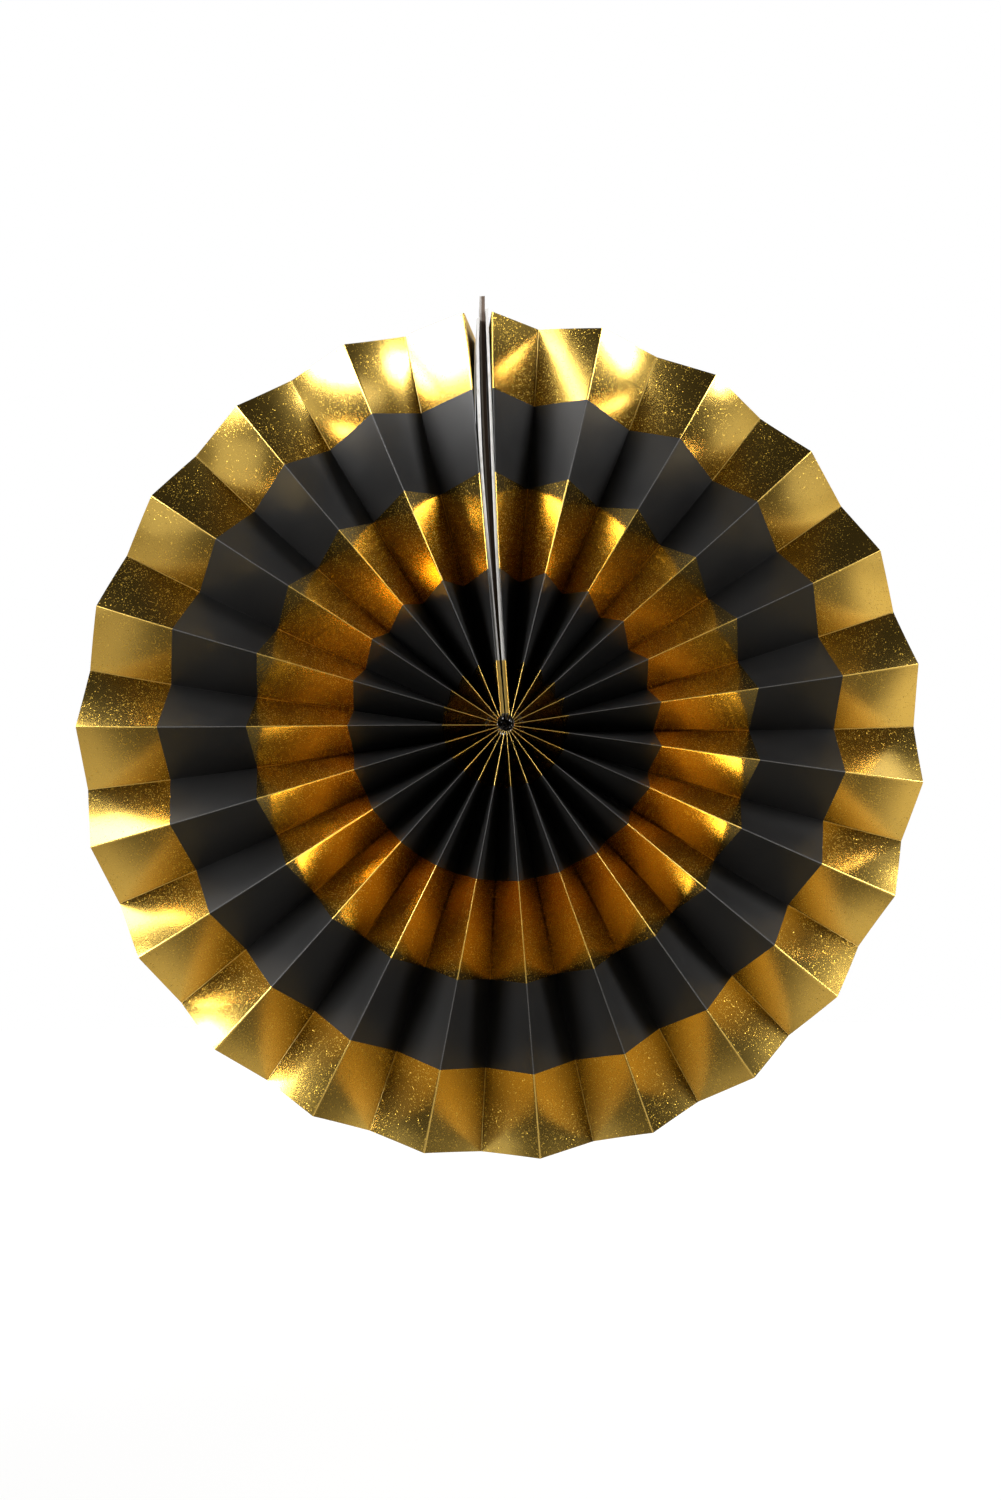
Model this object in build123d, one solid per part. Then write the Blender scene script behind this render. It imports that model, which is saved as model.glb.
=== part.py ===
import math
import os

from build123d import *

# Paper fan rosette: one printed sheet folded into an accordion of equal panels, closed into a full
# circle and gathered at the hub. Its two end panels are glued to stiff card boards, which meet at a
# seam at the top, on either side of a strip that stands above the rim and carries the hanging hole.
# The seam has bent over to the right towards its top, so the fan hangs a little turned.
# +Z is up along the top of the strip, the front faces -Y, and +X is to the viewer's right.
# The origin is the centre of the hanging hole.

# The folded sheet
fan_radius = 150.0  # hub axis to the rim of the paper
paper_thickness = 0.25
panel_count = 46  # panels of the accordion, the two glued end panels included
shallow_rim_depth = 9.0  # front to back depth of the rim at the top, where the pleats open widest
sag_angle = 3.7  # degrees that the pleats at three and nine o'clock have slipped down
hub_clearance = 0.10  # air between neighbouring panels where they crowd round the hub

# The card boards on the two ends of the sheet
board_thickness = 1.0
board_width = 23.0  # front to back
board_setback = 0.4  # the paper's fold stands this much in front of the board's edge
board_hub_setback = 0.4  # the boards stop this much outside the hub hole
right_board_standout = 1.3  # the right board ends above the rim of the paper
left_board_drop = 2.0  # the left board ends below it
end_fold_rim_front = 8.0  # how far the end folds stand in front of the fan's middle plane at the rim
glue_line = 0.08  # between the boards and what is glued to them

# The seam, where the boards bow apart and bend over together
hub_half_gap = 0.25
seam_bow = 0.85
bow_skew = 2  # above 1, the widest place of the bow is nearer the rim than the hub
seam_bend = 3.7  # how far the seam has bent to the right at the rim
bend_power = 3  # how sharply the bend grows toward the rim

# Where the end panels have come unglued near the rim and stand off from their boards
left_flare = 4.5
right_flare = 1.2
flare_power = 6  # how sharply the flare grows toward the rim

# The strip between the boards
strip_thickness = 1.9
strip_width = 14.0
strip_setback = 2.4  # behind the boards' front edges
strip_standout = 7.2  # above the rim of the paper
strip_hub_setback = 16.0  # the strip stops this much outside the hub hole
hang_hole_diameter = 3.0
hang_hole_height = 4.0  # centre of the hole above the rim of the paper

# The thread that gathers the pleats
thread_diameter = 0.8
thread_hole_diameter = 1.4
thread_ring_radius = 6.5
thread_sides = 8  # flats round the thread and its holes

# Values that follow from the sizes above
fold_count = panel_count - 1
last_fold = fold_count - 1
rim_half_gap = strip_thickness / 2 + glue_line
paper_half = paper_thickness / 2
packed_width = panel_count * (paper_thickness + hub_clearance)
hub_radius = (packed_width + 2 * (board_thickness + hub_half_gap + glue_line)) / (2 * math.pi)


def along(r):
    """Share of the way from the hub hole to the rim."""
    return (r - hub_radius) / (fan_radius - hub_radius)


def half_gap(r):
    """Distance from the seam's middle plane to the inner face of a board."""
    u = along(r)
    bow = seam_bow * max(0.0, math.sin(math.pi * u**bow_skew))
    return hub_half_gap + (rim_half_gap - hub_half_gap) * u + bow


seam_slope = bend_power * seam_bend / fan_radius  # of the seam at the rim, and of the strip above it


def seam_line(r):
    """Distance of the seam's middle to the right of a straight line up from the hub."""
    if r > fan_radius:
        return seam_bend + seam_slope * (r - fan_radius)
    return seam_bend * (r / fan_radius) ** bend_power


def glued_offset(r):
    """Distance from the seam's middle plane to the middle of an end panel that lies on its board."""
    return half_gap(r) + board_thickness + glue_line + paper_half


def flare(r, amount):
    """How far an end fold has come away from its board."""
    return amount * (r / fan_radius) ** flare_power


def end_offset(r, fold):
    amount = right_flare if fold == 0 else left_flare
    return glued_offset(r) + flare(r, amount)


def fold_angle(r, fold):
    """Angle of a fold clockwise from the seam, seen from the front, in radians."""
    share = fold / last_fold
    if fold == 0:
        return math.asin((end_offset(r, fold) + seam_line(r)) / r)
    if fold == last_fold:
        return 2 * math.pi - math.asin((end_offset(r, fold) - seam_line(r)) / r)
    seam = math.asin(glued_offset(r) / r)
    spread = seam + 2 * (math.pi - seam) * share
    return spread + math.radians(sag_angle) * math.sin(2 * math.pi * share)


def plan(r, fold):
    """Place of a fold in the fan's plane."""
    a = fold_angle(r, fold)
    return Vector(r * math.sin(a), 0, r * math.cos(a))


def chord(r, fold):
    """Distance in the fan's plane from a fold to the next one."""
    return (plan(r, fold + 1) - plan(r, fold)).length


# The panels are as wide as the widest-open pleat needs at the rim
widest_chord = max(chord(fan_radius, fold) for fold in range(1, last_fold - 1))
panel_width = math.hypot(widest_chord, shallow_rim_depth)


def panel_drop(r, fold):
    """Front to back depth of the panel from a fold to the next one."""
    return math.sqrt(panel_width**2 - min(chord(r, fold), widest_chord) ** 2)


def fold_front(r, fold):
    """How far a fold stands in front of the fan's middle plane: ridges in front, valleys behind."""
    if fold in (0, last_fold):
        return panel_width / 2 + (end_fold_rim_front - panel_width / 2) * along(r)
    half_depth = (panel_drop(r, fold - 1) + panel_drop(r, fold)) / 4
    return half_depth if fold % 2 == 0 else -half_depth


def at(r, fold, toward, step, front):
    """Point a step along the chord from one fold toward another, at a given front height."""
    here = plan(r, fold)
    if step == 0:
        return Vector(here.X, -front, here.Z)
    there = here + (plan(r, toward) - here).normalized() * step
    return Vector(there.X, -front, there.Z)


def slope(r, fold, other):
    """Cosine and sine of the angle between the panel joining two folds and the fan's plane."""
    run = (plan(r, other) - plan(r, fold)).length
    drop = abs(fold_front(r, fold) - fold_front(r, other))
    size = math.hypot(run, drop)
    return run / size, drop / size


def fold_slope(r, fold):
    """Mean cosine of the two panels that meet at a fold."""
    sides = [f for f in (fold - 1, fold + 1) if 0 <= f <= last_fold]
    return sum(slope(r, fold, f)[0] for f in sides) / len(sides)


def outer_land(r, fold):
    """Front height of the outside of a fold, where the paper turns over."""
    lift = paper_half * fold_slope(r, fold)
    front = fold_front(r, fold)
    return front + lift if fold % 2 == 0 else front - lift


def inner_crease(r, fold):
    """Front height of the inside of a fold, where the two panels close on each other."""
    sink = paper_half / fold_slope(r, fold)
    front = fold_front(r, fold)
    return front - sink if fold % 2 == 0 else front + sink


# Stations along the folds, close together at the hub where the pleats crowd
hub_stretches = 6
rim_stretches = 10
middle_radius = fan_radius / 3
stations = [hub_radius * (middle_radius / hub_radius) ** (i / hub_stretches) for i in range(hub_stretches)]
stations += [middle_radius + (fan_radius - middle_radius) * i / rim_stretches for i in range(rim_stretches + 1)]


def rail(point):
    """Edge from the hub to the rim, as one point at each station."""
    return [point(r) for r in stations]


def land_edge(fold, other):
    """Edge of a fold's outside, on the side of one neighbour."""
    return rail(lambda r: at(r, fold, other, paper_half * slope(r, fold, other)[1], outer_land(r, fold)))


def crease_edge(fold):
    """Inside of a fold."""
    return rail(lambda r: at(r, fold, fold, 0, inner_crease(r, fold)))


def end_panel_edges(fold):
    """Edges of a glued end panel: its fold beside the board, then both sides of its cut back edge."""
    side = 1 if fold == 0 else -1

    def edge(r, offset, front):
        return Vector(side * offset + seam_line(r), -front, plan(r, fold).Z)

    def back(r):
        return fold_front(r, fold) - panel_width

    return [
        rail(lambda r: edge(r, end_offset(r, fold) - paper_half, outer_land(r, fold))),
        rail(lambda r: edge(r, glued_offset(r) - paper_half, back(r))),
        rail(lambda r: edge(r, glued_offset(r) + paper_half, back(r))),
    ]


def facet(*corners):
    return Face(Wire.make_polygon(corners, close=True))


def facets(first, second):
    """Flat facets between two rails, two to a stretch, which together take up the twist of a panel."""
    faces = []
    stretches = zip(first, second, first[1:], second[1:])
    for near, far, next_near, next_far in stretches:
        faces += [facet(near, far, next_far), facet(near, next_far, next_near)]
    return faces


def cut_ends(*rails):
    """Cut edges of the sheet at the hub and at the rim, inside a section of rails."""
    return [facet(*(edge[end] for edge in rails)) for end in (0, -1)]


creases = [crease_edge(fold) for fold in range(fold_count)]
lands_before = {fold: land_edge(fold, fold - 1) for fold in range(1, fold_count)}
lands_after = {fold: land_edge(fold, fold + 1) for fold in range(last_fold)}
paper_faces = []
for fold in range(last_fold):
    paper_faces += facets(lands_after[fold], creases[fold + 1])
    paper_faces += facets(creases[fold], lands_before[fold + 1])
    paper_faces += cut_ends(lands_after[fold], creases[fold + 1], lands_before[fold + 1], creases[fold])
for fold, land in ((0, lands_after[0]), (last_fold, lands_before[last_fold])):
    fold_edge, board_side, pleat_side = end_panel_edges(fold)
    paper_faces += facets(fold_edge, board_side) + facets(board_side, pleat_side)
    paper_faces += facets(pleat_side, creases[fold]) + facets(fold_edge, land)
    paper_faces += cut_ends(fold_edge, board_side, pleat_side, creases[fold])
    paper_faces += cut_ends(fold_edge, land, creases[fold])
for fold in range(1, last_fold):
    paper_faces += facets(lands_before[fold], lands_after[fold])
    paper_faces += cut_ends(lands_before[fold], lands_after[fold], creases[fold])
pleated_paper = Solid(Shell(paper_faces))


def board(side, rim_end):
    """Bowed card board, its front edge along the end fold and its outer face on the end panel."""
    hub_end = hub_radius + board_hub_setback
    heights = [hub_end + (rim_end - hub_end) * i / 8 for i in range(9)]
    inner = [(seam_line(z) + side * half_gap(z), z) for z in heights]
    outer = [(seam_line(z) + side * (half_gap(z) + board_thickness), z) for z in reversed(heights)]
    with BuildSketch(Plane.XZ) as bowed:
        with BuildLine():
            first = Spline(*inner)
            second = Spline(*outer)
            Line(first @ 1, second @ 0)
            Line(second @ 1, first @ 0)
        make_face()
    reach = panel_width + board_width
    slab = extrude(bowed.sketch, amount=reach, both=True)
    hub_front = fold_front(hub_end, 0) - board_setback
    rim_front = fold_front(rim_end, 0) - board_setback
    with BuildSketch(Plane.YZ) as side_view:
        Polygon(
            (-hub_front, hub_end),
            (-rim_front, rim_end),
            (-rim_front + board_width, rim_end),
            (-hub_front + board_width, hub_end),
            align=None,
        )
    return slab & extrude(side_view.sketch, amount=reach, both=True)


right_end_board = board(1, fan_radius + right_board_standout)
left_end_board = board(-1, fan_radius - left_board_drop)

# The strip lies between the boards, its front edge parallel to theirs
strip_top = fan_radius + strip_standout
strip_foot = hub_radius + strip_hub_setback
strip_stretches = 12
strip_heights = [strip_foot + (fan_radius - strip_foot) * i / strip_stretches for i in range(strip_stretches + 1)]
strip_heights.append(strip_top)


def strip_edge(side):
    """Outline of one side of the strip, which the boards press thinner where they close toward the hub."""
    halves = [min(strip_thickness / 2, half_gap(z) - glue_line) for z in strip_heights]
    return [(seam_line(z) + side * half, z) for z, half in zip(strip_heights, halves)]


with BuildSketch(Plane.XZ) as strip_front_view:
    Polygon(*strip_edge(-1), *reversed(strip_edge(1)), align=None)
strip_front = [fold_front(z, 0) - board_setback - strip_setback for z in (strip_foot, strip_top)]
with BuildSketch(Plane.YZ) as strip_side_view:
    Polygon(
        (-strip_front[0], strip_foot),
        (-strip_front[1], strip_top),
        (-strip_front[1] + strip_width, strip_top),
        (-strip_front[0] + strip_width, strip_foot),
        align=None,
    )
strip_reach = panel_width + strip_width
hanging_strip = extrude(strip_front_view.sketch, amount=strip_reach, both=True)
hanging_strip &= extrude(strip_side_view.sketch, amount=strip_reach, both=True)

# The hanging hole goes square through the strip, above the rim
hole_height = fan_radius + hang_hole_height
hole_front = fold_front(hole_height, 0) - board_setback - strip_setback - strip_width / 2
hole_centre = Vector(seam_line(hole_height), -hole_front, hole_height)
hole_plane = Plane(origin=hole_centre, z_dir=(1, 0, -seam_slope))
hanging_strip -= hole_plane * Cylinder(hang_hole_diameter / 2, 2 * strip_thickness)


# The thread runs round the hub through a punched hole in every panel and in both boards
def panel_middle(r, fold):
    """Point half way across the panel from a fold to the next one, in the fan's plane."""
    return (plan(r, fold) + plan(r, fold + 1)) / 2


def punch(place, length):
    """Cutter for a hole of the thread, along the Z axis of a plane."""
    return place * extrude(RegularPolygon(thread_hole_diameter / 2, thread_sides), amount=length / 2, both=True)


def panel_hole(fold):
    """Punch square to the panel from a fold to the next one."""
    reach = thread_hole_diameter / 2
    outward = panel_middle(thread_ring_radius + reach, fold) - panel_middle(thread_ring_radius - reach, fold)
    square = Plane(origin=panel_middle(thread_ring_radius, fold), z_dir=(outward.Z, 0, -outward.X))
    return punch(square, 2 * paper_thickness)


board_middle = half_gap(thread_ring_radius) + board_thickness / 2
seam_hole_height = math.sqrt(thread_ring_radius**2 - board_middle**2)
seam_hole_length = 2 * (glued_offset(thread_ring_radius) + paper_thickness)
seam_hole = punch(Plane(origin=(0, 0, seam_hole_height), z_dir=(1, 0, 0)), seam_hole_length)
pleated_paper = pleated_paper - [seam_hole, *(panel_hole(fold) for fold in range(last_fold))]
right_end_board = right_end_board - seam_hole
left_end_board = left_end_board - seam_hole
with BuildPart() as thread_ring:
    with BuildSketch(Plane.XY):
        with Locations((thread_ring_radius, 0)):
            RegularPolygon(thread_diameter / 2, side_count=thread_sides)
    revolve(axis=Axis.Y)
binding_thread = thread_ring.part

nodes = {
    "pleated_paper": pleated_paper,
    "right_end_board": right_end_board,
    "left_end_board": left_end_board,
    "hanging_strip": hanging_strip,
    "binding_thread": binding_thread,
}
os.makedirs("parts", exist_ok=True)
to_hole = Rot(0, -math.degrees(math.atan(seam_slope)), 0) * Pos(-hole_centre)
for name, shape in nodes.items():
    export_step(to_hole * shape, f"parts/{name}.step")
print("panel width", round(panel_width, 2), "hub radius", round(hub_radius, 2))
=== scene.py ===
import math
import random

import bmesh
import bpy
from mathutils import Matrix, Vector


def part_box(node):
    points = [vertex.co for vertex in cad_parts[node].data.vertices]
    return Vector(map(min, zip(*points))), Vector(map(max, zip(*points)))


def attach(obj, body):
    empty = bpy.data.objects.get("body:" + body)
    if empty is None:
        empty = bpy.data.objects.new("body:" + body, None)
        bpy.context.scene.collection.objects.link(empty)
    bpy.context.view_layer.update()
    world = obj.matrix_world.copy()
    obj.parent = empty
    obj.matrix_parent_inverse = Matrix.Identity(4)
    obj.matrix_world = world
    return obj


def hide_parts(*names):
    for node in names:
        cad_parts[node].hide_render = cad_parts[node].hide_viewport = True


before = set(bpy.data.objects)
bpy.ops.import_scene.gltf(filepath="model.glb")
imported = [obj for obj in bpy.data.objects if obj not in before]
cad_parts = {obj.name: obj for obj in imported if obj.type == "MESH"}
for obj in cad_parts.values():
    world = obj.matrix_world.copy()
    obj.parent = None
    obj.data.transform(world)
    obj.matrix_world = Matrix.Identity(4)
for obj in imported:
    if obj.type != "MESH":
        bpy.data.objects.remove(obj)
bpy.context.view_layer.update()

mm = 0.001
threadLow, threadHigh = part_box("binding_thread")
hub = (threadLow + threadHigh) / 2
fanRadius = 150 * mm
print("frame loaded, fan radius in mm:", round(fanRadius / mm, 1))


# small helpers for shader nodes

def addNode(tree, kind, **settings):
    made = tree.nodes.new(kind)
    for key, value in settings.items():
        setattr(made, key, value)
    return made


def plug(tree, socket, value):
    if isinstance(value, bpy.types.NodeSocket):
        tree.links.new(value, socket)
    else:
        socket.default_value = value


def mathNode(tree, operation, first, second=None, clamp=False):
    made = addNode(tree, "ShaderNodeMath", operation=operation, use_clamp=clamp)
    plug(tree, made.inputs[0], first)
    if second is not None:
        plug(tree, made.inputs[1], second)
    return made.outputs[0]


def rangeNode(tree, value, fromLow, fromHigh, toLow=0.0, toHigh=1.0):
    made = addNode(tree, "ShaderNodeMapRange", interpolation_type="SMOOTHSTEP")
    plug(tree, made.inputs["Value"], value)
    plug(tree, made.inputs["From Min"], fromLow)
    plug(tree, made.inputs["From Max"], fromHigh)
    made.inputs["To Min"].default_value = toLow
    made.inputs["To Max"].default_value = toHigh
    return made.outputs["Result"]


def mixColour(tree, factor, first, second):
    made = addNode(tree, "ShaderNodeMix", data_type="RGBA")
    plug(tree, made.inputs["Factor"], factor)
    plug(tree, made.inputs["A"], first)
    plug(tree, made.inputs["B"], second)
    return made.outputs["Result"]


def mixValue(tree, factor, first, second):
    made = addNode(tree, "ShaderNodeMix", data_type="FLOAT")
    plug(tree, made.inputs["Factor"], factor)
    plug(tree, made.inputs["A"], first)
    plug(tree, made.inputs["B"], second)
    return made.outputs["Result"]


def noiseNode(tree, vector, scale, detail=2.0, roughness=0.5):
    made = addNode(tree, "ShaderNodeTexNoise")
    plug(tree, made.inputs["Vector"], vector)
    plug(tree, made.inputs["Scale"], scale)
    made.inputs["Detail"].default_value = detail
    made.inputs["Roughness"].default_value = roughness
    return made.outputs["Fac"]


def bumpNode(tree, height, distance, strength=1.0):
    made = addNode(tree, "ShaderNodeBump")
    made.inputs["Strength"].default_value = strength
    made.inputs["Distance"].default_value = distance
    plug(tree, made.inputs["Height"], height)
    return made.outputs["Normal"]


def newGroup(name, inputs, outputs):
    tree = bpy.data.node_groups.new(name, "ShaderNodeTree")
    for label, kind, value in inputs:
        socket = tree.interface.new_socket(label, in_out="INPUT", socket_type=kind)
        if value is not None:
            socket.default_value = value
    for label, kind in outputs:
        tree.interface.new_socket(label, in_out="OUTPUT", socket_type=kind)
    return tree, addNode(tree, "NodeGroupInput").outputs, addNode(tree, "NodeGroupOutput").inputs


def useGroup(tree, group, **values):
    made = addNode(tree, "ShaderNodeGroup", node_tree=group)
    for label, value in values.items():
        plug(tree, made.inputs[label], value)
    return made.outputs


def newMaterial(name):
    made = bpy.data.materials.new(name)
    made.use_nodes = True
    shader = next(n for n in made.node_tree.nodes if n.type == "BSDF_PRINCIPLED")
    return made, made.node_tree, shader


def objectCoords(tree):
    return addNode(tree, "ShaderNodeTexCoord").outputs["Object"]


# shape of the pleated sheet, the same folds as the solid
sheet = {
    "panels": 46,
    "thickness": 0.25 * mm,
    "shallowRimDepth": 9.0 * mm,      # front to back, at the top of the rim
    "sagAngle": math.radians(3.7),    # slip of the side pleats
    "hubClearance": 0.10 * mm,
    "boardThickness": 1.0 * mm,
    "stripThickness": 1.9 * mm,
    "glueLine": 0.08 * mm,
    "hubHalfGap": 0.25 * mm,
    "seamBow": 0.85 * mm,
    "bowSkew": 2,
    "seamBend": 3.7 * mm,             # to the right, at the rim
    "bendPower": 3,
    "rightFlare": 1.2 * mm,
    "leftFlare": 4.5 * mm,
    "flarePower": 6,
    "endFoldRimFront": 8.0 * mm,
    "threadHole": 1.4 * mm,
    "rows": 46,                       # from the thread holes to the rim
    "rowPower": 1.25,
    "foldShares": (0.012, 0.035, 0.09, 0.20, 0.34),  # columns between a fold and the panel's middle
    "bow": 0.35 * mm,                 # how far a panel's middle may lift
    "bowSeed": 11,
}
lastFold = sheet["panels"] - 2
threadRingRadius = (threadHigh.x - threadLow.x - (threadHigh.y - threadLow.y)) / 2
packedWidth = sheet["panels"] * (sheet["thickness"] + sheet["hubClearance"])
seamPack = sheet["boardThickness"] + sheet["hubHalfGap"] + sheet["glueLine"]
hubRadius = (packedWidth + 2 * seamPack) / (2 * math.pi)
rimHalfGap = sheet["stripThickness"] / 2 + sheet["glueLine"]
hangTurn = math.atan(sheet["bendPower"] * sheet["seamBend"] / fanRadius)
hang = Matrix.Rotation(-hangTurn, 3, "Y")    # the fan hangs turned, with the top of its seam upright


def seamLine(r):
    return sheet["seamBend"] * (r / fanRadius) ** sheet["bendPower"]


def gluedOffset(r):
    u = (r - hubRadius) / (fanRadius - hubRadius)
    bow = sheet["seamBow"] * max(0.0, math.sin(math.pi * u ** sheet["bowSkew"]))
    gap = sheet["hubHalfGap"] + (rimHalfGap - sheet["hubHalfGap"]) * u + bow
    return gap + sheet["boardThickness"] + sheet["glueLine"] + sheet["thickness"] / 2


def endOffset(r, fold):
    flare = sheet["rightFlare"] if fold == 0 else sheet["leftFlare"]
    return gluedOffset(r) + flare * (r / fanRadius) ** sheet["flarePower"]


def foldAngle(r, fold):
    if fold == 0:
        return math.asin((endOffset(r, fold) + seamLine(r)) / r)
    if fold == lastFold:
        return 2 * math.pi - math.asin((endOffset(r, fold) - seamLine(r)) / r)
    share = fold / lastFold
    seam = math.asin(gluedOffset(r) / r)
    return seam + 2 * (math.pi - seam) * share + sheet["sagAngle"] * math.sin(2 * math.pi * share)


def foldPlan(r, fold):
    angle = foldAngle(r, fold)
    return Vector((r * math.sin(angle), 0, r * math.cos(angle)))


def chord(r, fold):
    return (foldPlan(r, fold + 1) - foldPlan(r, fold)).length


widestChord = max(chord(fanRadius, fold) for fold in range(1, lastFold - 1))
panelWidth = math.hypot(widestChord, sheet["shallowRimDepth"])


def panelDrop(r, fold):
    return math.sqrt(panelWidth**2 - min(chord(r, fold), widestChord) ** 2)


def foldFront(r, fold):
    if fold in (0, lastFold):
        u = (r - hubRadius) / (fanRadius - hubRadius)
        return panelWidth / 2 + (sheet["endFoldRimFront"] - panelWidth / 2) * u
    half = (panelDrop(r, fold - 1) + panelDrop(r, fold)) / 4
    return half if fold % 2 == 0 else -half


def foldPoint(r, fold):
    return foldPlan(r, fold) + Vector((0, -foldFront(r, fold), 0))


def backEdge(r, fold):
    # cut edge of a glued end panel, behind its fold
    side = 1 if fold == 0 else -1
    across = seamLine(r) + side * gluedOffset(r)
    return Vector((across, panelWidth - foldFront(r, fold), foldPlan(r, fold).z))


def panelEnds(r, panel):
    if panel == 0:
        return backEdge(r, 0), foldPoint(r, 0)
    if panel == sheet["panels"] - 1:
        return foldPoint(r, lastFold), backEdge(r, lastFold)
    return foldPoint(r, panel - 1), foldPoint(r, panel)


def rowRadii():
    hole = sheet["threadHole"] / 2
    inner = threadRingRadius - hole
    outer = threadRingRadius + hole
    radii = [hubRadius, (hubRadius + inner) / 2, inner, outer]
    for i in range(1, sheet["rows"] + 1):
        radii.append(outer + (fanRadius - outer) * (i / sheet["rows"]) ** sheet["rowPower"])
    return radii


def columnShares():
    hole = sheet["threadHole"] / 2 / panelWidth
    first = [0.0, *sheet["foldShares"], 0.5 - hole]
    return first + [1 - s for s in reversed(first)][:-1]


def foldSheet(printed, back):
    radii = rowRadii()
    shares = columnShares()
    columns = sheet["panels"] * len(shares)
    rows = len(radii) - 1
    draw = random.Random(sheet["bowSeed"])
    bows = [draw.uniform(-1, 1) * sheet["bow"] for _ in range(sheet["panels"])]
    bows[0] = bows[-1] = 0.0
    holeColumn = len(sheet["foldShares"]) + 1
    holeRow = 2    # after the hub's edge and the row halfway to the hole

    bm = bmesh.new()
    bmesh.ops.create_grid(bm, x_segments=columns, y_segments=rows, size=0.5)
    uvLayer = bm.loops.layers.uv.new("sheet")
    flatPlace = {}
    for vert in bm.verts:
        column = round((vert.co.x + 0.5) * columns)
        row = round((vert.co.y + 0.5) * rows)
        panel = min(column // len(shares), sheet["panels"] - 1)
        step = column - panel * len(shares)
        share = shares[step] if step < len(shares) else 1.0
        r = radii[row]
        first, second = panelEnds(r, panel)
        lift = (second - first).cross((first + second) * Vector((1, 0, 1))).normalized()
        bowed = bows[panel] * (r / fanRadius) ** 2 * 4 * share * (1 - share)
        vert.co = hub + hang @ (first.lerp(second, share) + lift * bowed)
        flatPlace[vert.index] = ((panel + share) / sheet["panels"], r / fanRadius, step, row)
    for face in bm.faces:
        face.smooth = True
        for loop in face.loops:
            loop[uvLayer].uv = flatPlace[loop.vert.index][:2]

    def inHole(face):
        steps = {flatPlace[v.index][2] for v in face.verts}
        rowsHere = {flatPlace[v.index][3] for v in face.verts}
        return steps == {holeColumn, holeColumn + 1} and rowsHere == {holeRow, holeRow + 1}

    punched = [face for face in bm.faces if inHole(face)]
    bmesh.ops.delete(bm, geom=punched, context="FACES")
    for edge in bm.edges:
        edge.smooth = not edge.is_boundary    # cut edges stay crisp
    mesh = bpy.data.meshes.new("pleatedSheet")
    bm.to_mesh(mesh)
    bm.free()
    piece = bpy.data.objects.new("pleatedSheet", mesh)
    bpy.context.scene.collection.objects.link(piece)
    mesh.materials.append(printed)
    mesh.materials.append(back)
    thick = piece.modifiers.new("paperThickness", "SOLIDIFY")
    thick.thickness = sheet["thickness"]
    thick.offset = 0.0
    thick.use_even_offset = False
    thick.material_offset = 1
    thick.material_offset_rim = 1
    print("sheet pleated:", columns, "by", rows, "cells,", len(punched), "thread holes")
    return piece


# effects shared by several materials

foldWidths = {"ridge": 0.01, "valley": 0.02}    # shares of a panel


def foldLinesGroup():
    tree, given, result = newGroup(
        "foldLines",
        [
            ("RidgeWidth", "NodeSocketFloat", foldWidths["ridge"]),
            ("ValleyWidth", "NodeSocketFloat", foldWidths["valley"]),
            ("Panels", "NodeSocketFloat", float(sheet["panels"])),
        ],
        [("Ridge", "NodeSocketFloat"), ("Valley", "NodeSocketFloat")],
    )
    uv = addNode(tree, "ShaderNodeUVMap", uv_map="sheet").outputs["UV"]
    flat = addNode(tree, "ShaderNodeSeparateXYZ")
    plug(tree, flat.inputs[0], uv)
    along = mathNode(tree, "MULTIPLY", flat.outputs["X"], given["Panels"])
    nearest = mathNode(tree, "ROUND", along)
    gap = mathNode(tree, "ABSOLUTE", mathNode(tree, "SUBTRACT", along, nearest))
    odd = mathNode(tree, "MODULO", nearest, 2.0)
    even = mathNode(tree, "SUBTRACT", 1.0, odd)
    onRidge = rangeNode(tree, gap, given["RidgeWidth"], 0.0)
    inValley = rangeNode(tree, gap, given["ValleyWidth"], 0.0)
    plug(tree, result["Ridge"], mathNode(tree, "MULTIPLY", onRidge, odd))
    plug(tree, result["Valley"], mathNode(tree, "MULTIPLY", inValley, even))
    return tree


fineGrain = {
    "flecks": 2000.0,           # cells in a metre
    "share": 0.2,               # of the cells, that hold a fleck
    "shareSwing": (0.4, 1.6),   # times that share, from clear patches to hazy ones
    "size": (0.2, 0.42),        # of a cell
    "lean": 0.5,
    "grain": 2600.0,
    "haze": 60.0,
    "hazeSpan": (0.35, 0.65),   # of the noise, from clear to hazy
}


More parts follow.
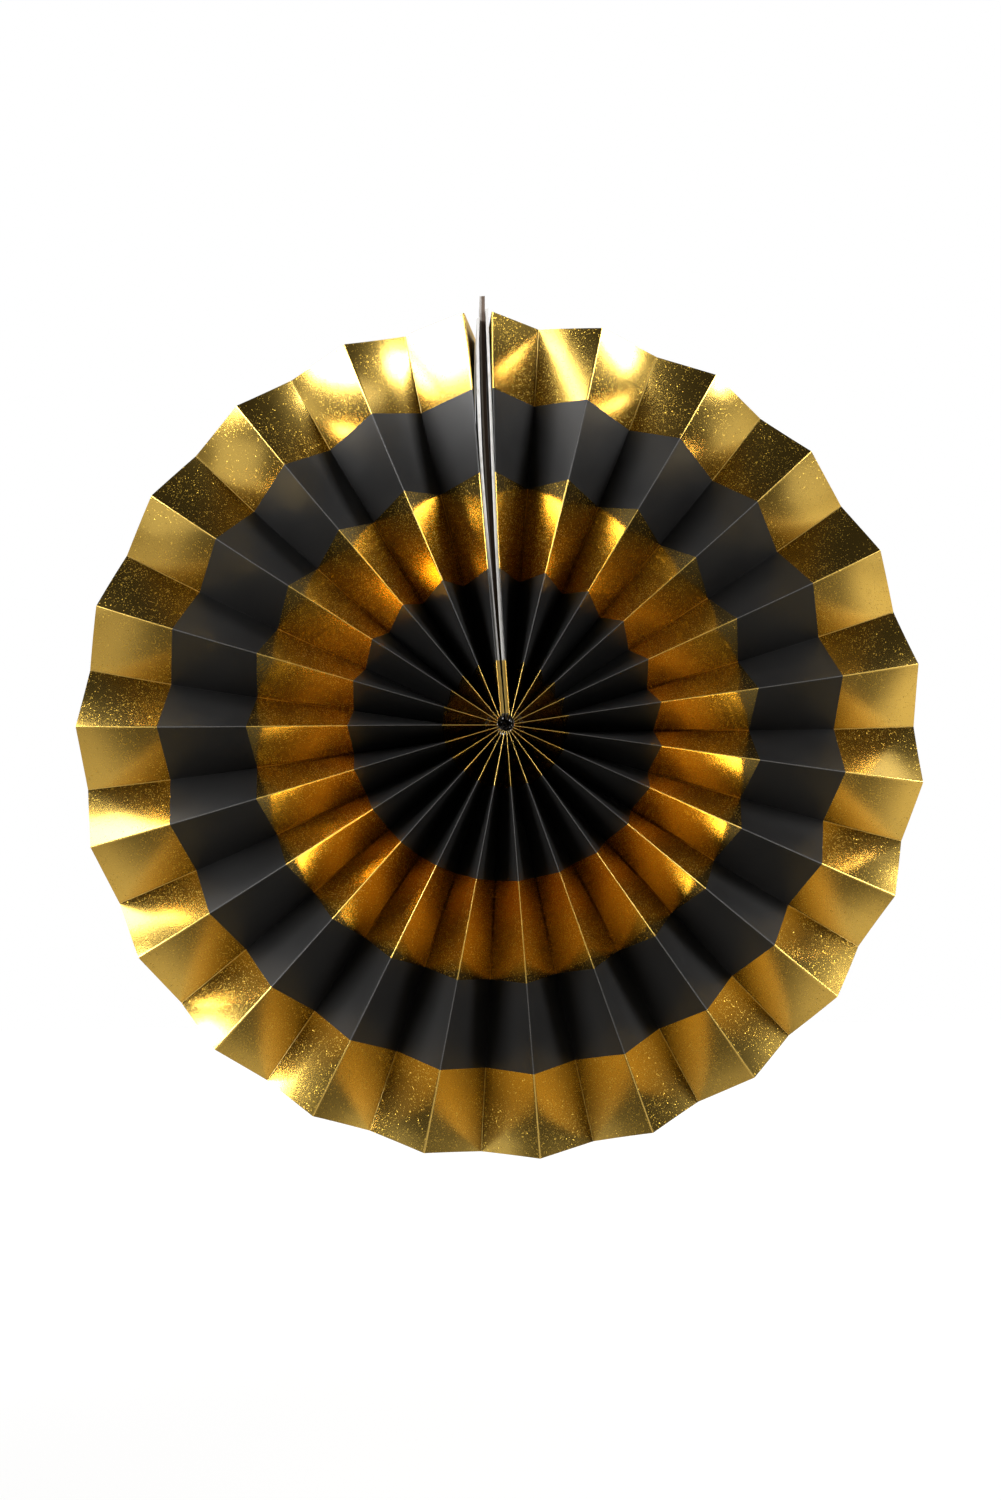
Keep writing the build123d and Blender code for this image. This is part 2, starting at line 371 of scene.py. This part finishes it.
def foilGrainGroup():
    tree, given, result = newGroup(
        "foilGrain",
        [
            ("Place", "NodeSocketVector", None),
            ("Flecks", "NodeSocketFloat", fineGrain["flecks"]),
            ("Share", "NodeSocketFloat", fineGrain["share"]),
            ("Lean", "NodeSocketFloat", fineGrain["lean"]),
            ("Grain", "NodeSocketFloat", fineGrain["grain"]),
        ],
        [
            ("Fleck", "NodeSocketFloat"),
            ("Tilt", "NodeSocketVector"),
            ("Height", "NodeSocketFloat"),
            ("Haze", "NodeSocketFloat"),
        ],
    )
    cells = addNode(tree, "ShaderNodeTexVoronoi", voronoi_dimensions="2D")
    plug(tree, cells.inputs["Vector"], given["Place"])
    plug(tree, cells.inputs["Scale"], given["Flecks"])
    tone = addNode(tree, "ShaderNodeSeparateColor")
    plug(tree, tone.inputs[0], cells.outputs["Color"])
    haze = noiseNode(tree, given["Place"], fineGrain["haze"], detail=4.0)
    swing = rangeNode(tree, haze, *fineGrain["hazeSpan"], *fineGrain["shareSwing"])
    spread = mathNode(tree, "MULTIPLY", given["Share"], swing)
    chosen = mathNode(tree, "LESS_THAN", tone.outputs[0], spread)
    size = rangeNode(tree, tone.outputs[1], 0.0, 1.0, *fineGrain["size"])
    inside = mathNode(tree, "LESS_THAN", cells.outputs["Distance"], size)
    fleck = mathNode(tree, "MULTIPLY", inside, chosen)
    plug(tree, result["Fleck"], fleck)
    toss = addNode(tree, "ShaderNodeTexWhiteNoise", noise_dimensions="3D")    # each fleck leans its own way
    plug(tree, toss.inputs["Vector"], cells.outputs["Position"])
    centred = addNode(tree, "ShaderNodeVectorMath", operation="SUBTRACT")
    plug(tree, centred.inputs[0], toss.outputs["Color"])
    centred.inputs[1].default_value = (0.5, 0.5, 0.5)
    tilt = addNode(tree, "ShaderNodeVectorMath", operation="SCALE")
    plug(tree, tilt.inputs[0], centred.outputs["Vector"])
    plug(tree, tilt.inputs["Scale"], mathNode(tree, "MULTIPLY", fleck, given["Lean"]))
    plug(tree, result["Tilt"], tilt.outputs["Vector"])
    plug(tree, result["Height"], noiseNode(tree, given["Place"], given["Grain"], detail=1.0))
    plug(tree, result["Haze"], haze)
    return tree


fibres = {"scale": 900.0, "stretch": (1.0, 0.6, 0.35), "mottle": 35.0}


def paperFibreGroup():
    tree, given, result = newGroup(
        "paperFibre",
        [("Scale", "NodeSocketFloat", fibres["scale"])],
        [("Fibre", "NodeSocketFloat"), ("Mottle", "NodeSocketFloat")],
    )
    place = objectCoords(tree)
    stretched = addNode(tree, "ShaderNodeMapping")
    stretched.inputs["Scale"].default_value = fibres["stretch"]
    plug(tree, stretched.inputs["Vector"], place)
    plug(tree, result["Fibre"], noiseNode(tree, stretched.outputs[0], given["Scale"], detail=3.0))
    plug(tree, result["Mottle"], noiseNode(tree, place, fibres["mottle"], detail=3.0))
    return tree


def seamPlaceGroup():
    # distance from the hub, and from the bent middle of the seam to the right
    outputs = [("Radius", "NodeSocketFloat"), ("Across", "NodeSocketFloat")]
    tree, _, result = newGroup("seamPlace", [], outputs)
    fromHub = addNode(tree, "ShaderNodeVectorMath", operation="SUBTRACT")
    plug(tree, fromHub.inputs[0], objectCoords(tree))
    fromHub.inputs[1].default_value = hub
    upright = addNode(tree, "ShaderNodeVectorRotate", rotation_type="Y_AXIS")
    plug(tree, upright.inputs["Vector"], fromHub.outputs["Vector"])
    upright.inputs["Angle"].default_value = hangTurn
    place = addNode(tree, "ShaderNodeSeparateXYZ")
    plug(tree, place.inputs[0], upright.outputs["Vector"])
    share = mathNode(tree, "DIVIDE", place.outputs["Z"], fanRadius)
    curved = mathNode(tree, "POWER", share, float(sheet["bendPower"]))
    bend = mathNode(tree, "MULTIPLY", curved, sheet["seamBend"])
    plug(tree, result["Radius"], place.outputs["Z"])
    plug(tree, result["Across"], mathNode(tree, "SUBTRACT", place.outputs["X"], bend))
    return tree


foldLines = foldLinesGroup()
foilGrain = foilGrainGroup()
paperFibre = paperFibreGroup()
seamPlace = seamPlaceGroup()

# printed side of the sheet: gold foil and black ink in rings
foil = {
    "gold": (0.78, 0.50, 0.075, 1),
    "paleGold": (0.86, 0.60, 0.17, 1),
    "goldRoughness": 0.21,
    "goldSwing": 0.01,       # of the roughness, from clear patches to hazy ones
    "fleckRoughness": 0.42,
    "scuffRoughness": 0.55,  # worn folds
    "lacquer": 1.0,
    "lacquerRoughness": 0.2,
    "rubbedRoughness": 0.5,  # the two glued end panels, without lacquer
    "black": (0.0085, 0.0082, 0.0082, 1),
    "wornBlack": (0.12, 0.115, 0.11, 1),
    "blackRoughness": 0.48,
    "blackSwing": 0.05,
    "swingSpan": (0.3, 0.7),  # of the noise, over which either roughness swings
    "gloss": 0.6,             # specular level of the ink
    # share of the radius where a band starts, and whether it is gold
    "bandEdges": ((0.0, 1), (0.148, 0), (0.365, 1), (0.598, 0), (0.8074, 1)),
    "ridgeWidth": 0.009,     # shares of a panel
    "valleyWidth": 0.02,
    "wearSpan": (0.3, 0.6),  # of the grain, from little wear to full wear
    "leastWear": 0.3,
    "grainDepth": 0.012 * mm,
}


def foilMaterial():
    made, tree, shader = newMaterial("foilPrint")
    uv = addNode(tree, "ShaderNodeUVMap", uv_map="sheet").outputs["UV"]
    flat = addNode(tree, "ShaderNodeSeparateXYZ")
    plug(tree, flat.inputs[0], uv)
    unfolded = addNode(tree, "ShaderNodeVectorMath", operation="MULTIPLY")
    plug(tree, unfolded.inputs[0], uv)
    unfolded.inputs[1].default_value = (sheet["panels"] * panelWidth, fanRadius, 0)
    ramp = addNode(tree, "ShaderNodeValToRGB")
    ramp.color_ramp.interpolation = "CONSTANT"
    stops = ramp.color_ramp.elements
    while len(stops) < len(foil["bandEdges"]):
        stops.new(0.5)
    for stop, (place, isGold) in zip(stops, foil["bandEdges"]):
        stop.position = place
        stop.color = (isGold, isGold, isGold, 1)
    plug(tree, ramp.inputs["Fac"], flat.outputs["Y"])
    gold = ramp.outputs["Color"]
    lines = useGroup(tree, foldLines, RidgeWidth=foil["ridgeWidth"], ValleyWidth=foil["valleyWidth"])
    grain = useGroup(tree, foilGrain, Place=unfolded.outputs["Vector"])
    fibre = useGroup(tree, paperFibre)
    patchy = rangeNode(tree, grain["Height"], *foil["wearSpan"], foil["leastWear"], 1.0)
    ridgeWear = mathNode(tree, "MULTIPLY", lines["Ridge"], patchy)
    valleyWear = mathNode(tree, "MULTIPLY", lines["Valley"], patchy)
    foldWear = mathNode(tree, "ADD", ridgeWear, valleyWear, clamp=True)
    goldTone = mixColour(tree, foldWear, foil["gold"], foil["paleGold"])
    blackTone = mixColour(tree, ridgeWear, foil["black"], foil["wornBlack"])
    plug(tree, shader.inputs["Base Color"], mixColour(tree, gold, blackTone, goldTone))
    plug(tree, shader.inputs["Metallic"], gold)
    fromMiddle = mathNode(tree, "ABSOLUTE", mathNode(tree, "SUBTRACT", flat.outputs["X"], 0.5))
    rubbed = mathNode(tree, "GREATER_THAN", fromMiddle, 0.5 - 1 / sheet["panels"])
    lacquer = mixValue(tree, rubbed, foil["lacquer"], 0.0)
    plug(tree, shader.inputs["Coat Weight"], mathNode(tree, "MULTIPLY", gold, lacquer))
    shader.inputs["Coat Roughness"].default_value = foil["lacquerRoughness"]
    shader.inputs["Specular IOR Level"].default_value = foil["gloss"]
    goldSpan = (foil["goldRoughness"] - foil["goldSwing"], foil["goldRoughness"] + foil["goldSwing"])
    smooth = rangeNode(tree, grain["Haze"], *foil["swingSpan"], *goldSpan)
    flecked = mixValue(tree, grain["Fleck"], smooth, foil["fleckRoughness"])
    dulled = mixValue(tree, rubbed, flecked, foil["rubbedRoughness"])
    goldRough = mixValue(tree, foldWear, dulled, foil["scuffRoughness"])
    blackSpan = (foil["blackRoughness"] - foil["blackSwing"], foil["blackRoughness"] + foil["blackSwing"])
    blackRough = rangeNode(tree, fibre["Mottle"], *foil["swingSpan"], *blackSpan)
    plug(tree, shader.inputs["Roughness"], mixValue(tree, gold, blackRough, goldRough))
    height = mixValue(tree, gold, fibre["Fibre"], grain["Height"])
    leaning = addNode(tree, "ShaderNodeVectorMath", operation="SCALE")
    plug(tree, leaning.inputs[0], grain["Tilt"])
    plug(tree, leaning.inputs["Scale"], gold)
    faceted = addNode(tree, "ShaderNodeVectorMath", operation="ADD")
    plug(tree, faceted.inputs[0], bumpNode(tree, height, foil["grainDepth"]))
    plug(tree, faceted.inputs[1], leaning.outputs["Vector"])
    unit = addNode(tree, "ShaderNodeVectorMath", operation="NORMALIZE")
    plug(tree, unit.inputs[0], faceted.outputs["Vector"])
    plug(tree, shader.inputs["Normal"], unit.outputs["Vector"])
    return made


# plain side of the sheet and its cut edges
backPaper = {
    "white": (0.84, 0.82, 0.78, 1),
    "shade": (0.74, 0.72, 0.68, 1),
    "shadeSpan": (0.35, 0.75),          # of the mottle, from white to shade
    # painted shade along the folds that are valleys on this side
    "creaseShade": (0.66, 0.64, 0.60, 1),
    "creaseShadeShare": 0.6,
    "hubEndShade": (0.16, 0.15, 0.145, 1),  # painted shade on the cut ends round the hub hole
    "hubEndShadeReach": 0.024,              # share of the radius
    "roughness": 0.85,
    "fibreDepth": 0.05 * mm,
}


def backMaterial():
    made, tree, shader = newMaterial("plainBack")
    fibre = useGroup(tree, paperFibre)
    lines = useGroup(tree, foldLines)
    mottle = rangeNode(tree, fibre["Mottle"], *backPaper["shadeSpan"])
    mottled = mixColour(tree, mottle, backPaper["white"], backPaper["shade"])
    # painted shade in the valley folds of the plain side
    creaseShade = mathNode(tree, "MULTIPLY", lines["Ridge"], backPaper["creaseShadeShare"])
    creaseShaded = mixColour(tree, creaseShade, mottled, backPaper["creaseShade"])
    flat = addNode(tree, "ShaderNodeSeparateXYZ")
    plug(tree, flat.inputs[0], addNode(tree, "ShaderNodeUVMap", uv_map="sheet").outputs["UV"])
    # painted shade: the cut ends round the hub hole are darkened
    atHub = mathNode(tree, "LESS_THAN", flat.outputs["Y"], backPaper["hubEndShadeReach"])
    plug(tree, shader.inputs["Base Color"], mixColour(tree, atHub, creaseShaded, backPaper["hubEndShade"]))
    shader.inputs["Roughness"].default_value = backPaper["roughness"]
    plug(tree, shader.inputs["Normal"], bumpNode(tree, fibre["Fibre"], backPaper["fibreDepth"]))
    return made


# boards at the seam: white edges, brown faces, foil turned over the edge near the hub, painted shade on the
# front edges toward the hub
boardCard = {
    "edge": (0.80, 0.79, 0.77, 1),
    "plies": (0.62, 0.60, 0.57, 1),
    "pliesSpan": (0.45, 0.75),          # of the fibre, from edge to plies
    "face": (0.075, 0.05, 0.035, 1),
    "faceSpan": (0.5, 0.7),             # of the sideways turn, from edge to face
    "frontTurn": -0.5,                  # along Y, of an edge that faces the front
    "paintedEdgeShade": (0.04, 0.037, 0.037, 1),   # painted shade on the front edge near the hub
    "edgeShadeFrom": 0.52,                  # shares of the radius
    "edgeShadeTo": 0.30,
    "leftEdgeShade": (0.55, 0.97),           # beside the gap, and beside the paper
    "leftEdgeShadeFrom": -0.95 * mm,         # from the middle of the seam
    "leftEdgeShadeTo": -1.15 * mm,
    "rightEdgeShade": 0.33,
    "roughness": 0.8,
    "fibreDepth": 0.05 * mm,
    "foilReach": 0.148,                 # share of the radius
    "foilMetal": 0.8,
    "foilRoughness": 0.35,
}


def boardMaterial():
    made, tree, shader = newMaterial("boardCard")
    coords = addNode(tree, "ShaderNodeTexCoord")
    turned = addNode(tree, "ShaderNodeSeparateXYZ")
    plug(tree, turned.inputs[0], coords.outputs["Normal"])
    place = useGroup(tree, seamPlace)
    fibre = useGroup(tree, paperFibre)
    grain = useGroup(tree, foilGrain, Place=coords.outputs["Object"])
    broad = rangeNode(tree, mathNode(tree, "ABSOLUTE", turned.outputs["X"]), *boardCard["faceSpan"])
    plies = rangeNode(tree, fibre["Fibre"], *boardCard["pliesSpan"])
    clean = mixColour(tree, plies, boardCard["edge"], boardCard["plies"])
    # painted shade: the front edges darken toward the hub, the left board's most beside the paper
    onLeft = mathNode(tree, "LESS_THAN", place["Across"], 0.0)
    leftSpan = (boardCard["leftEdgeShadeFrom"], boardCard["leftEdgeShadeTo"])
    leftShadeDepth = rangeNode(tree, place["Across"], *leftSpan, *boardCard["leftEdgeShade"])
    depth = mixValue(tree, onLeft, boardCard["rightEdgeShade"], leftShadeDepth)
    hubwardShade = rangeNode(
        tree, place["Radius"], boardCard["edgeShadeFrom"] * fanRadius, boardCard["edgeShadeTo"] * fanRadius
    )
    edge = mixColour(tree, mathNode(tree, "MULTIPLY", hubwardShade, depth), clean, boardCard["paintedEdgeShade"])
    nearHub = mathNode(tree, "LESS_THAN", place["Radius"], boardCard["foilReach"] * fanRadius)
    inFront = mathNode(tree, "LESS_THAN", turned.outputs["Y"], boardCard["frontTurn"])
    turnedFoil = mathNode(tree, "MULTIPLY", nearHub, inFront)
    card = mixColour(tree, broad, edge, boardCard["face"])
    plug(tree, shader.inputs["Base Color"], mixColour(tree, turnedFoil, card, foil["paleGold"]))
    plug(tree, shader.inputs["Metallic"], mathNode(tree, "MULTIPLY", turnedFoil, boardCard["foilMetal"]))
    rough = mixValue(tree, turnedFoil, boardCard["roughness"], boardCard["foilRoughness"])
    plug(tree, shader.inputs["Roughness"], rough)
    height = mixValue(tree, turnedFoil, fibre["Fibre"], grain["Height"])
    plug(tree, shader.inputs["Normal"], bumpNode(tree, height, boardCard["fibreDepth"]))
    return made


# strip between the boards
stripCard = {
    "brown": (0.10, 0.068, 0.048, 1),
    "worn": (0.17, 0.12, 0.09, 1),
    "wornSpan": (0.4, 0.7),  # of the mottle, from brown to worn
    "pale": (0.46, 0.43, 0.40, 1),
    "paleShare": 0.33,       # of the thickness, on the left
    "paleBlur": 0.05 * mm,
    "roughness": 0.7,
    "fibreDepth": 0.06 * mm,
}


def stripMaterial():
    made, tree, shader = newMaterial("stripCard")
    place = useGroup(tree, seamPlace)
    fibre = useGroup(tree, paperFibre)
    wear = rangeNode(tree, fibre["Mottle"], *stripCard["wornSpan"])
    brown = mixColour(tree, wear, stripCard["brown"], stripCard["worn"])
    paleEnd = (stripCard["paleShare"] - 0.5) * sheet["stripThickness"]
    blur = stripCard["paleBlur"]
    pale = rangeNode(tree, place["Across"], paleEnd + blur, paleEnd - blur)
    plug(tree, shader.inputs["Base Color"], mixColour(tree, pale, brown, stripCard["pale"]))
    shader.inputs["Roughness"].default_value = stripCard["roughness"]
    plug(tree, shader.inputs["Normal"], bumpNode(tree, fibre["Fibre"], stripCard["fibreDepth"]))
    return made


# binding thread and its knot; the dark knot fills the hub hole as painted shade
thread = {
    "light": (0.10, 0.095, 0.085, 1),
    "dark": (0.03, 0.028, 0.025, 1),
    "roughness": 0.8,
    "twists": 500.0,
    "twistDepth": 0.08 * mm,
    "diameter": 0.8 * mm,
    "roundSteps": 2,
    "pathSteps": 4,
    "knotRadius": 2.45 * mm,   # to the middle of the strand
    "knotTurns": 3,
    "knotSpin": 40,            # degrees from one turn to the next
    "knotSway": 0.8,           # units to the front and back
    "knotSpacing": 1.2 * mm,
    "knotPoints": 24,
}


def threadMaterial():
    made, tree, shader = newMaterial("threadAndHubShade")
    twist = addNode(tree, "ShaderNodeTexWave", wave_type="BANDS", bands_direction="DIAGONAL")
    plug(tree, twist.inputs["Vector"], objectCoords(tree))
    twist.inputs["Scale"].default_value = thread["twists"]
    strands = twist.outputs["Fac"]
    plug(tree, shader.inputs["Base Color"], mixColour(tree, strands, thread["dark"], thread["light"]))
    shader.inputs["Roughness"].default_value = thread["roughness"]
    plug(tree, shader.inputs["Normal"], bumpNode(tree, strands, thread["twistDepth"]))
    return made


def tieKnot(material):
    # the strand's ends are knotted in the hub, below the seam; the dark knot fills the hub hole as painted
    # shade
    curve = bpy.data.curves.new("hubShadeKnot", "CURVE")
    curve.dimensions = "3D"
    curve.bevel_depth = thread["diameter"] / 2
    curve.bevel_resolution = thread["roundSteps"]
    curve.resolution_u = thread["pathSteps"]
    count = thread["knotPoints"]
    unit = thread["knotRadius"] / 3    # the loop below reaches three units
    for turn in range(thread["knotTurns"]):
        loop = curve.splines.new("NURBS")
        loop.points.add(count - 1)
        loop.order_u = 4
        loop.use_cyclic_u = True
        depth = thread["knotSpacing"] * (turn - (thread["knotTurns"] - 1) / 2)
        spin = Matrix.Rotation(math.radians(thread["knotSpin"] * turn), 3, "Y")
        for i, point in enumerate(loop.points):
            t = 2 * math.pi * i / count
            across = math.sin(t) + 2 * math.sin(2 * t)
            up = math.cos(t) - 2 * math.cos(2 * t)
            local = spin @ Vector((across, -thread["knotSway"] * math.sin(3 * t), up)) * unit
            point.co = (*(hub + local + Vector((0, depth, 0))), 1)
    tail = curve.splines.new("POLY")
    tail.points.add(1)
    for point, height in zip(tail.points, (-thread["knotRadius"] / 2, threadRingRadius)):
        point.co = (*(hub + Vector((0, 0, height))), 1)
    holder = bpy.data.objects.new("threadKnotCurve", curve)
    bpy.context.scene.collection.objects.link(holder)
    bpy.context.view_layer.update()
    shaped = holder.evaluated_get(bpy.context.evaluated_depsgraph_get())
    mesh = bpy.data.meshes.new_from_object(shaped)
    bpy.data.objects.remove(holder)
    mesh.name = "hubShadeKnot"
    mesh.materials.clear()
    mesh.materials.append(material)
    piece = bpy.data.objects.new("hubShadeKnot", mesh)
    bpy.context.scene.collection.objects.link(piece)
    print("thread knotted in the hub")
    return piece


pleatedSheet = foldSheet(foilMaterial(), backMaterial())
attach(pleatedSheet, "root")
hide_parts("pleated_paper")

dressed = {
    "right_end_board": boardMaterial(),
    "hanging_strip": stripMaterial(),
    "binding_thread": threadMaterial(),
}
dressed["left_end_board"] = dressed["right_end_board"]
hubShadeKnot = tieKnot(dressed["binding_thread"])
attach(hubShadeKnot, "root")
for nodeName, material in dressed.items():
    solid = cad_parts[nodeName]
    solid.data.materials.clear()
    solid.data.materials.append(material)
print("boards, strip and thread dressed")


# camera at the photograph's place, fitted to the folds
view = {
    "imageWidth": 1001,
    "imageHeight": 1500,
    "focalPixels": 1330.4,
    "hubPixel": (504.5, 726.4),
    "hubDistance": 475.5 * mm,
    "yaw": math.radians(2.44),     # right side further away
    "pitch": math.radians(5.03),   # top further away
    "roll": math.radians(4.57),    # top leans left
    "sensor": 36.0,
    "clipStart": 0.01,
}


def placeCamera():
    data = bpy.data.cameras.new("photoCamera")
    data.sensor_width = view["sensor"]
    data.lens = view["sensor"] * view["focalPixels"] / view["imageHeight"]
    data.clip_start = view["clipStart"]
    camera = bpy.data.objects.new("photoCamera", data)
    bpy.context.scene.collection.objects.link(camera)
    pixelsPerMetre = view["focalPixels"] / view["hubDistance"]
    right = (view["hubPixel"][0] - view["imageWidth"] / 2) / pixelsPerMetre
    up = (view["imageHeight"] / 2 - view["hubPixel"][1]) / pixelsPerMetre
    turn = (
        hang
        @ Matrix.Rotation(math.radians(90), 3, "X")
        @ Matrix.Rotation(-view["yaw"], 3, "Y")
        @ Matrix.Rotation(view["pitch"], 3, "X")
        @ Matrix.Rotation(-view["roll"], 3, "Z")
    )
    place = hub + turn @ Vector((-right, -up, view["hubDistance"]))
    camera.matrix_world = Matrix.Translation(place) @ turn.to_4x4()
    bpy.context.scene.camera = camera
    print("camera placed")


# soft boxes and dim cards beside the fan, as seen from the hub: degrees to the side of the front axis and up,
# degrees of lean and of spread, and metres away
lights = {
    "leftBox": {
        "side": -56.5, "up": 19.5, "lean": -22, "distance": 1.0,
        "across": 29, "tall": 12, "radiance": 23,
    },
    "highLeftBox": {
        "side": -79, "up": 46, "lean": -17, "distance": 0.56,
        "across": 42, "tall": 15, "radiance": 7,
    },
    "rightBox": {
        "side": 58, "up": 22, "lean": 7, "distance": 1.07,
        "across": 11, "tall": 28, "radiance": 24,
    },
    "leftCard": {
        "side": -62, "up": -10, "lean": 0, "distance": 1.0,
        "across": 24, "tall": 20, "radiance": 0.55,
    },
    "rightCard": {
        "side": 62, "up": -12, "lean": 0, "distance": 1.0,
        "across": 22, "tall": 22, "radiance": 0.4,
    },
    "highRightCard": {
        "side": 85, "up": 48, "lean": 0, "distance": 0.8,
        "across": 16, "tall": 14, "radiance": 1.2,
    },
}


def placeLights():
    for name, box in lights.items():
        data = bpy.data.lights.new(name, "AREA")
        data.shape = "RECTANGLE"
        data.size = 2 * box["distance"] * math.tan(math.radians(box["across"] / 2))
        data.size_y = 2 * box["distance"] * math.tan(math.radians(box["tall"] / 2))
        data.energy = box["radiance"] * math.pi * data.size * data.size_y
        lamp = bpy.data.objects.new(name, data)
        bpy.context.scene.collection.objects.link(lamp)
        side = math.radians(box["side"])
        up = math.radians(box["up"])
        level = math.cos(up)
        toward = hang @ Vector((math.sin(side) * level, -math.cos(side) * level, math.sin(up)))
        lean = Matrix.Rotation(math.radians(box["lean"]), 3, "Z")
        lamp.location = hub + toward * box["distance"]
        lamp.rotation_euler = (toward.to_track_quat("Z", "Y").to_matrix() @ lean).to_euler()
    print("soft boxes and cards placed:", len(lights))


# pale floor below the fan with painted light and shade, white backdrop and dim room
stage = {
    "drop": 0.45,            # floor below the hub
    "size": 6.0,
    # painted light on the floor: darker to the left, brighter to the right
    "floorShadedLeft": (0.36, 0.335, 0.29, 1),
    "floorLitRight": (0.80, 0.75, 0.65, 1),
    "floorGrade": 0.5,       # to either side, where the floor's two tones are reached
    "floorShade": 0.12,      # of those tones, below and behind the fan
    "shadeFrom": -0.2,       # along Y
    "shadeTo": -0.05,
    "sideShade": 0.25,       # how much further forward the shade reaches to either side
    "fadeFrom": 0.5,         # from the point below the hub, where the floor starts to fade to white
    "fadeTo": 1.1,
    "nearLift": 0.92,        # white added for the camera close by
    "room": (0.025, 0.0235, 0.022, 1),
    "backFill": 1.0,         # of the white behind the fan, that lights its plain side
    "behindFrom": 0.05,      # along Y, where the room turns white
    "behindTo": 0.4,
    "floorRoughness": 0.9,
}


def layFloor():
    bm = bmesh.new()
    bmesh.ops.create_grid(bm, x_segments=1, y_segments=1, size=stage["size"] / 2)
    bmesh.ops.translate(bm, verts=bm.verts, vec=Vector((0, 0, hub.z - stage["drop"])))
    mesh = bpy.data.meshes.new("paleFloor")
    bm.to_mesh(mesh)
    bm.free()
    floor = bpy.data.objects.new("paleFloor", mesh)
    bpy.context.scene.collection.objects.link(floor)
    made, tree, shader = newMaterial("paleFloor")
    mesh.materials.append(made)
    place = addNode(tree, "ShaderNodeSeparateXYZ")
    plug(tree, place.inputs[0], objectCoords(tree))
    # painted light: the floor's tone grades from the darker left to the brighter right
    right = rangeNode(tree, place.outputs["X"], -stage["floorGrade"], stage["floorGrade"])
    tone = mixColour(tree, right, stage["floorShadedLeft"], stage["floorLitRight"])
    shaded = addNode(tree, "ShaderNodeVectorMath", operation="SCALE")
    plug(tree, shaded.inputs[0], tone)
    aside = mathNode(tree, "MULTIPLY", mathNode(tree, "ABSOLUTE", place.outputs["X"]), stage["sideShade"])
    back = mathNode(tree, "ADD", place.outputs["Y"], aside)
    shade = rangeNode(tree, back, stage["shadeFrom"], stage["shadeTo"], 1.0, stage["floorShade"])
    plug(tree, shaded.inputs["Scale"], shade)
    plug(tree, shader.inputs["Base Color"], shaded.outputs["Vector"])
    shader.inputs["Roughness"].default_value = stage["floorRoughness"]
    shader.inputs["Emission Color"].default_value = (1, 1, 1, 1)
    flat = addNode(tree, "ShaderNodeVectorMath", operation="MULTIPLY")
    plug(tree, flat.inputs[0], objectCoords(tree))
    flat.inputs[1].default_value = (1, 1, 0)
    away = addNode(tree, "ShaderNodeVectorMath", operation="LENGTH")
    plug(tree, away.inputs[0], flat.outputs["Vector"])
    fade = (stage["fadeFrom"], stage["fadeTo"])
    lift = rangeNode(tree, away.outputs["Value"], *fade, stage["nearLift"], 1.0)
    rays = addNode(tree, "ShaderNodeLightPath").outputs
    glow = mathNode(tree, "MULTIPLY", lift, rays["Is Camera Ray"])
    plug(tree, shader.inputs["Emission Strength"], glow)
    print("floor laid")


def paintWorld():
    world = bpy.data.worlds.new("studio")
    bpy.context.scene.world = world
    world.use_nodes = True
    tree = world.node_tree
    background = next(n for n in tree.nodes if n.type == "BACKGROUND")
    direction = addNode(tree, "ShaderNodeSeparateXYZ")
    plug(tree, direction.inputs[0], addNode(tree, "ShaderNodeTexCoord").outputs["Generated"])
    behind = rangeNode(tree, direction.outputs["Y"], stage["behindFrom"], stage["behindTo"])
    rays = addNode(tree, "ShaderNodeLightPath").outputs
    mirrored = mathNode(tree, "ADD", rays["Is Glossy Ray"], rays["Is Transmission Ray"], clamp=True)
    soft = mathNode(tree, "MULTIPLY", rays["Is Diffuse Ray"], stage["backFill"])
    unseen = mathNode(tree, "MULTIPLY", mathNode(tree, "ADD", mirrored, soft, clamp=True), behind)
    white = mathNode(tree, "ADD", rays["Is Camera Ray"], unseen, clamp=True)
    plug(tree, background.inputs["Color"], mixColour(tree, white, stage["room"], (1, 1, 1, 1)))
    print("white backdrop and dim room set")


placeCamera()
placeLights()
layFloor()
paintWorld()
bpy.context.scene.view_settings.view_transform = "Standard"
